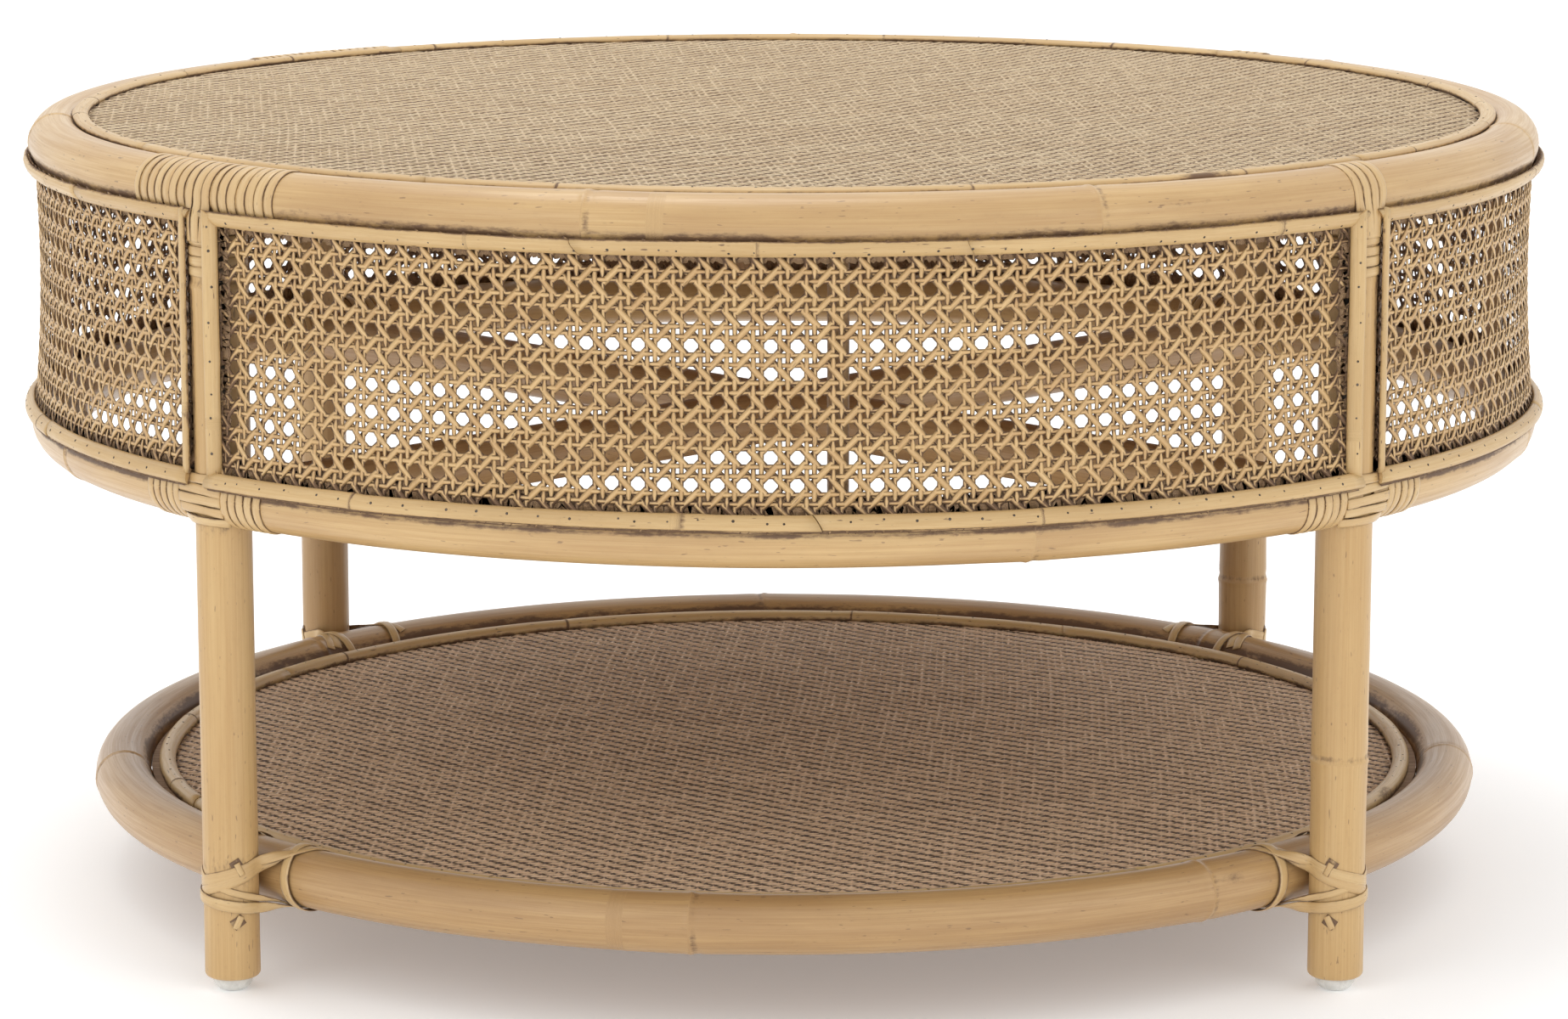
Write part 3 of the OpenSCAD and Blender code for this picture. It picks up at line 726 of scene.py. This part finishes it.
slant = lambda o: -o[:, 0] * 0.55 - 0.15 * MM
slant_back = lambda o: o[:, 0] * 0.55 - 0.15 * MM
BEAD_LIFT = PEEL_T + 1.4 * MM
BEAD_END = math.pi / 4 - math.radians(1.05)
CUTS = {"front": (-14.0, 12.5), "right": (6.0,), "back": (-8.0, 17.0), "left": (28.5,)}
LOWER_CUTS = {"front": (2.2,), "right": (-12.0,), "back": (15.0,), "left": (-5.0, 21.0)}
for side, middle in SIDES.items():
    upper, lower, upright = Bundle(), Bundle(), Bundle()
    bead_on_ring(upper, TOP, UPPER_TILT, middle - BEAD_END, middle + BEAD_END, BEAD_LIFT, BEAD_W, BEAD_T,
                 [middle + math.radians(c) for c in CUTS[side]],
                 (lambda o: -o[:, 0] * 1.0, lambda o: -o[:, 0] * 1.0))
    bead_on_ring(lower, APRON, LOWER_TILT, middle - BEAD_END, middle + BEAD_END, BEAD_LIFT, BEAD_W, BEAD_T,
                 [middle + math.radians(c) for c in LOWER_CUTS[side]],
                 (lambda o: o[:, 0] * 0.3, lambda o: o[:, 0] * 0.3))
    upper.piece(f"upper_strip_{side}", STRIP, "split_rattan", [f"upper_bead_{side}"])
    lower.piece(f"lower_strip_{side}", STRIP, "split_rattan", [f"lower_bead_{side}"])
    foot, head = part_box(f"side_beads_{side}")
    for leg, turn in ((middle - math.pi / 4, 1), (middle + math.pi / 4, -1)):
        run = stations(head.z - foot.z + 5 * MM, 0.006, [chance.uniform(0.02, 0.11)])
        path, normal = leg_points(leg, turn * SIDE_TILT + spread(len(run), -0.012, 0.012, 9),
                                  foot.z - 1 * MM + run, BEAD_LIFT)
        bead(upright, path, normal, BEAD_W, BEAD_T, [chance.uniform(0.02, 0.11)],
             (lambda o: 0 * o[:, 0], lambda o, turn=turn: -turn * o[:, 0] * 0.55), edge=0.75)
    upright.piece(f"upright_strips_{side}", STRIP, "split_rattan", [f"side_beads_{side}"])


def trim(name, outer, base, w, t, cuts, node, pin_step, worn):
    """The strip on the edge of a mat, in lengths that meet at cuts. worn is the angle where its skin has
    split off."""
    bundle = Bundle()
    marks = [math.radians(c) for c in cuts]
    radius = outer - w / 2
    for a, b in zip(marks, marks[1:] + [marks[0] + TURN]):
        length = (b - a) * radius
        knots = [k for k in np.cumsum(chance.uniform(0.05, 0.22, 30)) if k < length - 0.02]
        run = stations(length, 0.008, knots)
        angle = a + run / radius
        out = np.stack([np.cos(angle), np.sin(angle), 0 * angle], -1)
        path = out * (radius + spread(len(run), -0.4 * MM, 0.4 * MM, 14))[:, None]
        path[:, 2] = base
        bead(bundle, path, np.tile([0, 0, 1.0], (len(run), 1)), w, t, knots, (slant, slant_back),
             edge=0.95, pin_step=pin_step,
             worn=0.95 * np.exp(-((np.degrees(angle) - worn) / 2.6) ** 4) * spread(len(run), 0.6, 1.0, 2))
    bundle.piece(name, STRIP, "split_rattan", [node])


trim("top_trim_strip", TOP_TRIM_OUT, TOP_MAT_Z - 0.1 * MM, 10 * MM, 3.95 * MM, (212, 243, 318, 407, 488),
     "top_trim", 34 * MM, 302)
trim("shelf_trim_strip", SHELF_TRIM_OUT, SHELF_MAT_Z - 0.4 * MM, 11 * MM, 6.6 * MM, (150, 205, 301, 420),
     "shelf_trim", 18 * MM, 338)
pins.piece("pin_heads", PIN, "pin_steel", ["bead_pins"])


# ---------------------------------------------------------------- woven mats
def mat(name, radius, surface, turned, way, warp_step, weft_step, material, node, lean, bow, lift, crown):
    """Strips woven two over and one under. way is the slant of the twill, lean is the slope of the warp,
    bow is the sweep of the weft, and crown is the height of a strip's ridge."""
    bend = chance.uniform(0, TURN, 6)
    level = surface - lift

    def place(x, y):
        u = (x + lean * y + 4 * MM * np.sin(x * 9 + y * 5 + bend[0])
             + 0.5 * MM * np.sin(y * 24 + bend[1]))
        v = (y + bow * (1 - np.cos(x * 7)) + 3 * MM * np.sin(x * 9 - y * 4 + bend[2])
             + 1.2 * MM * np.sin(x * 22 + bend[3]))
        return u * math.cos(turned) - v * math.sin(turned), u * math.sin(turned) + v * math.cos(turned)

    half_x, half_y = int(radius / warp_step) + 4, int(radius / weft_step) + 4
    for label, along_x in (("weft", True), ("warp", False)):
        bundle = Bundle()
        step = weft_step if along_x else warp_step
        outline = np.array([[-step / 2, -0.2 * MM], [step / 2, -0.2 * MM], [0, crown]])
        lines, stops = (half_y, half_x) if along_x else (half_x, half_y)
        for line in range(-lines, lines + 1):
            stop = np.arange(-stops, stops + 1)
            i, j = (stop, np.full_like(stop, line)) if along_x else (np.full_like(stop, line), stop)
            over = ((i + way * j) % 3 < 2) == along_x
            rise = lift if along_x else 0.3 * lift
            shift = chance.uniform(-0.05, 0.05) * step
            x = i * warp_step + (0 if along_x else shift)
            y = j * weft_step + (shift if along_x else 0)
            px, py = place(x, y)
            keep = np.hypot(px, py) < radius
            if keep.sum() < 4:
                continue
            height = np.where(over, rise, -lift) + chance.uniform(-0.1, 0.1, len(stop)) * lift
            path = np.stack([px, py, level + height], -1)[keep]
            # The twill's dark marks come from low, where the strips lie lowest, and the darker strip edges
            # come from the flank values. Both are painted shade in the weave's dips and gaps, with some
            # glazing there too. rim darkens the strips towards the mat's edge.
            low = (np.where(over, 0.0, 1.0) if along_x else np.where(over, 1.0, 0.3))[keep]
            rim = np.clip((np.hypot(px, py)[keep] - radius + 5 * MM) / (5 * MM), 0, 1) * 0.6
            glaze = np.maximum(low, rim)[:, None] + np.array([0.35, 0.35, -0.15])[None]
            pinch = np.where(over[keep], 1.0, 0.62) * chance.uniform(0.95, 1.02)
            sweep(bundle, path, np.tile([0, 0, 1.0], (len(path), 1)), outline, wide=pinch, glaze=glaze)
        bundle.piece(f"{name}_{label}", material, "woven_mat", [node] if along_x else ())


mat("top_mat", TOP_MAT_OUT + 2 * MM, TOP_MAT_Z, math.radians(16), -1, 4.52 * MM, 4.7 * MM, TOP_MAT, "top_mat",
    lean=0.18, bow=0.036, lift=0.12 * MM, crown=0.16 * MM)
mat("shelf_mat", SHELF_MAT_OUT + 2 * MM, SHELF_MAT_Z, math.radians(4), 1, 4.46 * MM, 4.1 * MM, SHELF_MAT,
    "shelf_mat", lean=0.12, bow=0.02, lift=0.22 * MM, crown=0.3 * MM)


# ---------------------------------------------------------------- bindings
PEEL_GLAZE = np.array([0.9, 0.9, 0.56, -0.06, -0.06, 0.56])[None]


def smooth(values, rounds=2):
    for _ in range(rounds):
        inner = (values[:-2] + 2 * values[1:-1] + values[2:]) / 4
        values = np.concatenate([values[:1], inner, values[-1:]])
    return values


def strap(bundle, parts, w=6.4 * MM, t=0.95 * MM, rounds=2, painted_shadow=0.0):
    """A strip of peel through parts, each a pair of points and normals. The last argument darkens all of it,
    used to paint a shadow. stain is glaze all over it.
    """
    path = np.concatenate([p for p, _ in parts])
    normal = np.concatenate([n for _, n in parts])
    gap = np.concatenate([[0], np.cumsum(np.linalg.norm(np.diff(path, axis=0), axis=1) + 1e-9)])
    even = np.linspace(0, gap[-1], max(8, int(gap[-1] / (1.8 * MM))))
    path = np.stack([np.interp(even, gap, path[:, k]) for k in range(3)], -1)
    normal = np.stack([np.interp(even, gap, normal[:, k]) for k in range(3)], -1)
    path, normal = smooth(path, rounds), unit(smooth(normal, rounds))
    glaze = PEEL_GLAZE + painted_shadow + np.zeros((len(path), 1))
    sweep(bundle, path, normal, peel_outline(w, t), wide=1 + spread(len(path), -0.06, 0.05, 8), glaze=glaze)


def ring_turn(ring, leg, s0, s1, from_deg, to_deg, lift=0.05 * MM, bow=0.0):
    section = np.radians(np.linspace(from_deg, to_deg, max(4, int(abs(to_deg - from_deg) / 9))))
    share = np.linspace(0, 1, len(section))
    s = s0 + (s1 - s0) * share + bow * np.sin(math.pi * share)
    return ring_points(ring, leg + s / ring[0], section, lift)


def leg_turn(leg, a0, a1, z0, z1, lift=0.05 * MM):
    around = np.radians(np.linspace(a0, a1, max(3, int(abs(a1 - a0) / 9))))
    return leg_points(leg, around, np.linspace(z0, z1, len(around)), lift)


def post_bands(bundle, leg, top, count, pitch):
    """Turns of peel round the post."""
    for i in range(count):
        z = top - pitch * (i + 0.5) + chance.uniform(-0.3, 0.3) * MM
        lean = chance.uniform(-0.9, 0.9) * MM
        strap(bundle, [leg_turn(leg, -125, 125, z - lean, z + lean, 0.1 * MM)],
              w=pitch * chance.uniform(0.9, 1.0))


for name, leg in LEGS.items():
    bundle = Bundle()
    _, z, thick = TOP
    if name.endswith("left"):
        # A long binding: turns on both sides, and three straps that run down the post
        pitch = 6.7 * MM
        for i in range(-8, 9):
            s = i * pitch + chance.uniform(-0.5, 0.5) * MM
            if i in (-1, 0, 1):
                strap(bundle, [
                    ring_turn(TOP, leg, s, s, 126, -10, 0.1 * MM),
                    leg_turn(leg, math.degrees(s / LEG_THICK), math.degrees(0.8 * s / LEG_THICK),
                             z - 12 * MM, z - 24 * MM, 0.9 * MM)], w=6.3 * MM)
            else:
                lean = chance.uniform(-0.6, 0.6) * MM
                strap(bundle, [ring_turn(TOP, leg, s - lean, s + lean, 126, -172)],
                      w=6.2 * MM if chance.uniform() < 0.75 else 4.6 * MM)
    else:
        for i, s in enumerate((-9.9, -3.3, 3.3, 9.9)):
            foot = 0.55 * s
            strap(bundle, [
                ring_turn(TOP, leg, s * MM, s * MM, 126, -6, 0.1 * MM, bow=0.06 * s * MM),
                leg_turn(leg, math.degrees(0.75 * s * MM / LEG_THICK), math.degrees(foot * MM / LEG_THICK),
                         z - 12 * MM, z - 22 * MM, 0.5 * MM)], w=6.2 * MM, rounds=4)
    post_bands(bundle, leg, z - thick + 1.5 * MM, 5, 5.7 * MM)
    bundle.piece(f"top_binding_{name}", PEEL, "rattan_peel", [f"top_lashing_{name}"])

    bundle = Bundle()
    radius, z, thick = APRON
    for way in (-1, 1):
        for i in range(5):
            s = way * (19.5 * MM + i * 6.0 * MM + chance.uniform(-0.4, 0.4) * MM)
            lean = way * chance.uniform(0.3, 1.3) * MM
            section = np.radians(np.arange(0, 360, 10) + 5)
            path, normal = ring_points(APRON, leg + (s + lean * np.sin(section)) / radius, section, 0.05 * MM)
            sweep(bundle, path[::-1], normal[::-1], peel_outline(5.7 * MM, 0.95 * MM), closed=True,
                  glaze=PEEL_GLAZE + np.zeros((len(path), 1)))
    for level in (-13.2, -7.4, -1.6, 4.2, 10.0):
        x = np.linspace(-17, 17, 15) * MM
        h = level * MM + chance.uniform(-0.3, 0.3) * MM + x * chance.uniform(-0.05, 0.05)
        at_ring = radius + np.sqrt((thick + 0.2 * MM) ** 2 - h ** 2)
        r = at_ring + np.maximum(LEG_OUT + LEG_THICK + 0.5 * MM - at_ring, 0.2 * MM) * (1 - (x / 0.017) ** 2)
        a = leg + x / radius
        out = np.stack([np.cos(a), np.sin(a), 0 * a], -1)
        path = out * r[:, None]
        path[:, 2] = z + h
        normal = unit(out + np.array([0, 0, 1.0]) * (h / thick * 0.5)[:, None])
        strap(bundle, [(path, normal)], w=5.6 * MM, rounds=1)
    bundle.piece(f"apron_binding_{name}", PEEL, "rattan_peel", [f"apron_lashing_{name}"])

    bundle = Bundle()
    m = 1 if name.endswith("left") else -1
    zs = SHELF[1]
    for drop, lift in ((0.0, 0.1), (6.2, 0.15)):
        strap(bundle, [
            ring_turn(SHELF, leg, m * (36 - drop) * MM, m * (27 - drop) * MM, 140, 75, 0.2 * MM),
            leg_turn(leg, m * 118, m * -62, zs + (12 - 0.6 * drop) * MM, zs - (2 + drop) * MM, lift * MM),
            ring_turn(SHELF, leg, m * -(20 + drop) * MM, m * -(30 + drop) * MM, -35, -120, 0.2 * MM)],
            rounds=5)
    strap(bundle, [
        ring_turn(SHELF, leg, m * -30 * MM, m * -22 * MM, 130, 60, 0.2 * MM),
        leg_turn(leg, m * -100, m * 110, zs - 4 * MM, zs - 14 * MM, 1.1 * MM),
        ring_turn(SHELF, leg, m * 20 * MM, m * 34 * MM, -70, -150, 0.3 * MM)], rounds=5)
    strap(bundle, [
        ring_turn(SHELF, leg, m * -24 * MM, m * -20 * MM, 110, 70, 0.2 * MM),
        leg_turn(leg, m * -80, m * 80, zs + 9 * MM, zs - 6 * MM, 0.05 * MM),
        ring_turn(SHELF, leg, m * 18 * MM, m * 26 * MM, -50, -130, 0.3 * MM)], w=4.2 * MM, rounds=5)
    strap(bundle, [ring_turn(SHELF, leg, m * 19 * MM, m * 33 * MM, 168, -172, 1.1 * MM)])
    strap(bundle, [ring_turn(SHELF, leg, m * -20 * MM, m * -32 * MM, 168, -172, 1.1 * MM)])
    # The two tucked ends, each over a dark smear that paints its shadow and also stands for glue
    for a0, a1, z0, z1 in ((62, 74, 13, 6), (58, 70, -24, -17)):
        strap(bundle, [leg_turn(leg, m * a0, m * a1, zs + z0 * MM, zs + z1 * MM, 0.35 * MM)], w=3.8 * MM)
        smear = leg_turn(leg, m * (a0 - 5), m * (a1 + 5), zs + (z0 + 1.5) * MM, zs + (z1 - 1.5) * MM,
                         0.02 * MM)
        strap(bundle, [smear], w=6.4 * MM, t=0.22 * MM, painted_shadow=0.95)
    bundle.piece(f"shelf_binding_{name}", PEEL, "rattan_peel", [f"shelf_lashing_{name}"])


# ---------------------------------------------------------------- glides
def lathe(bundle, centre, rows, count=40):
    """A turned shape with its axis upright. rows are (radius, height) from the bottom up."""
    a = np.arange(count) * TURN / count
    rows = np.array(rows)
    points = np.stack([
        centre[0] + rows[:, :1] * np.cos(a), centre[1] + rows[:, :1] * np.sin(a),
        np.repeat(rows[:, 1:], count, 1)], -1)
    n = len(rows)
    i, k = np.arange(n - 1)[:, None] * count, np.arange(count)[None]
    l = (k + 1) % count
    quads = np.stack([i + k, i + l, i + count + l, i + count + k], -1).reshape(-1, 4)
    bundle.add(points, points.copy(), 0.0, [
        (quads, True), (np.arange(count)[None, ::-1], False),
        ((n - 1) * count + np.arange(count)[None], False)])


feet = Bundle()
wide, tall = 11 * MM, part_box("glides")[1].z
flat = 4 * MM
dome = [(flat + (wide - flat) * math.sin(t), (tall - 1.5 * MM) * (1 - math.cos(t)))
        for t in np.linspace(0, math.pi / 2, 9)]
rim = [(wide, tall - 0.4 * MM), (wide - 0.4 * MM, tall)]
for leg in LEGS.values():
    lathe(feet, (math.cos(leg) * LEG_OUT, math.sin(leg) * LEG_OUT), dome + rim)
feet.piece("floor_glides", GLIDE, "glide_plastic", ["glides"])


# ---------------------------------------------------------------- finishes of the frame's own nodes
def finish_node(node, material):
    mesh_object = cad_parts[node]
    for at in range(len(mesh_object.material_slots)):
        mesh_object.material_slots[at].link = "OBJECT"
        mesh_object.material_slots[at].material = material


for node, material in {
    "cross_pole_long": BARE_POLES["cross_pole_rattan"],
    "cross_pole_short_left": BARE_POLES["short_cross_pole_rattan"],
    "cross_pole_short_right": BARE_POLES["short_cross_pole_rattan"],
    "top_board": BOARD, "shelf_board": BOARD, "top_bearer_front": BATTEN, "top_bearer_back": BATTEN,
    "shelf_bearer_front": BATTEN, "shelf_bearer_back": BATTEN, "glide_nails": STEEL, "frame_screws": STEEL,
    **{f"strut_{side}": BARE_POLES["upright_rattan"] for side in SIDES},
}.items():
    finish_node(node, material)


# ---------------------------------------------------------------- floor, light and camera
def make_floor():
    half, cells = 14.0, 8
    line = np.linspace(-half, half, cells + 1)
    x, y = np.meshgrid(line, line)
    points = [(a, b, 0.0) for a, b in zip(x.ravel(), y.ravel())]
    row = cells + 1
    faces = [(j * row + i, j * row + i + 1, (j + 1) * row + i + 1, (j + 1) * row + i)
             for j in range(cells) for i in range(cells)]
    mesh = bpy.data.meshes.new("studio_floor")
    mesh.from_pydata(points, [], faces)
    paint = plain("floor_paint", (252, 252, 252), (249, 249, 249), 2.0, 0.75)
    shader = paint.node_tree.nodes["Principled BSDF"]
    shader.inputs["Emission Color"].default_value = (1, 1, 1, 1)
    shader.inputs["Emission Strength"].default_value = 0.2
    mesh.materials.append(paint)
    floor = bpy.data.objects.new("studio_floor", mesh)
    bpy.context.scene.collection.objects.link(floor)


def add_light(name, place, aim, size, power):
    lamp = bpy.data.lights.new(name, "AREA")
    lamp.shape, lamp.size, lamp.energy = "SQUARE", size, power
    light = bpy.data.objects.new(name, lamp)
    light.location = place
    light.rotation_mode = "QUATERNION"
    light.rotation_quaternion = (Vector(aim) - Vector(place)).to_track_quat("-Z", "Y")
    bpy.context.scene.collection.objects.link(light)


make_floor()
add_light("overhead_softbox", (-0.4, 0.2, 2.9), (0, 0, 0.3), 1.3, 20)
add_light("front_left_softbox", (-2.2, -2.9, 1.9), (0, 0, 0.25), 1.8, 9)
add_light("front_right_softbox", (2.6, -2.4, 1.4), (0, 0, 0.25), 1.6, 6)

world = bpy.data.worlds.new("studio")
world.use_nodes = True
world.node_tree.nodes["Background"].inputs["Color"].default_value = (1, 1, 1, 1)
world.node_tree.nodes["Background"].inputs["Strength"].default_value = 1.0
bpy.context.scene.world = world
bpy.context.scene.view_settings.view_transform = "Standard"

camera_data = bpy.data.cameras.new("camera")
camera_data.sensor_width = 36.0
camera_data.lens = 119.7
camera = bpy.data.objects.new("camera", camera_data)
camera.location = (0, -3.0919, 0.7941)
camera.rotation_euler = (math.pi / 2 - 0.186, 0, 0)
bpy.context.scene.collection.objects.link(camera)
bpy.context.scene.camera = camera
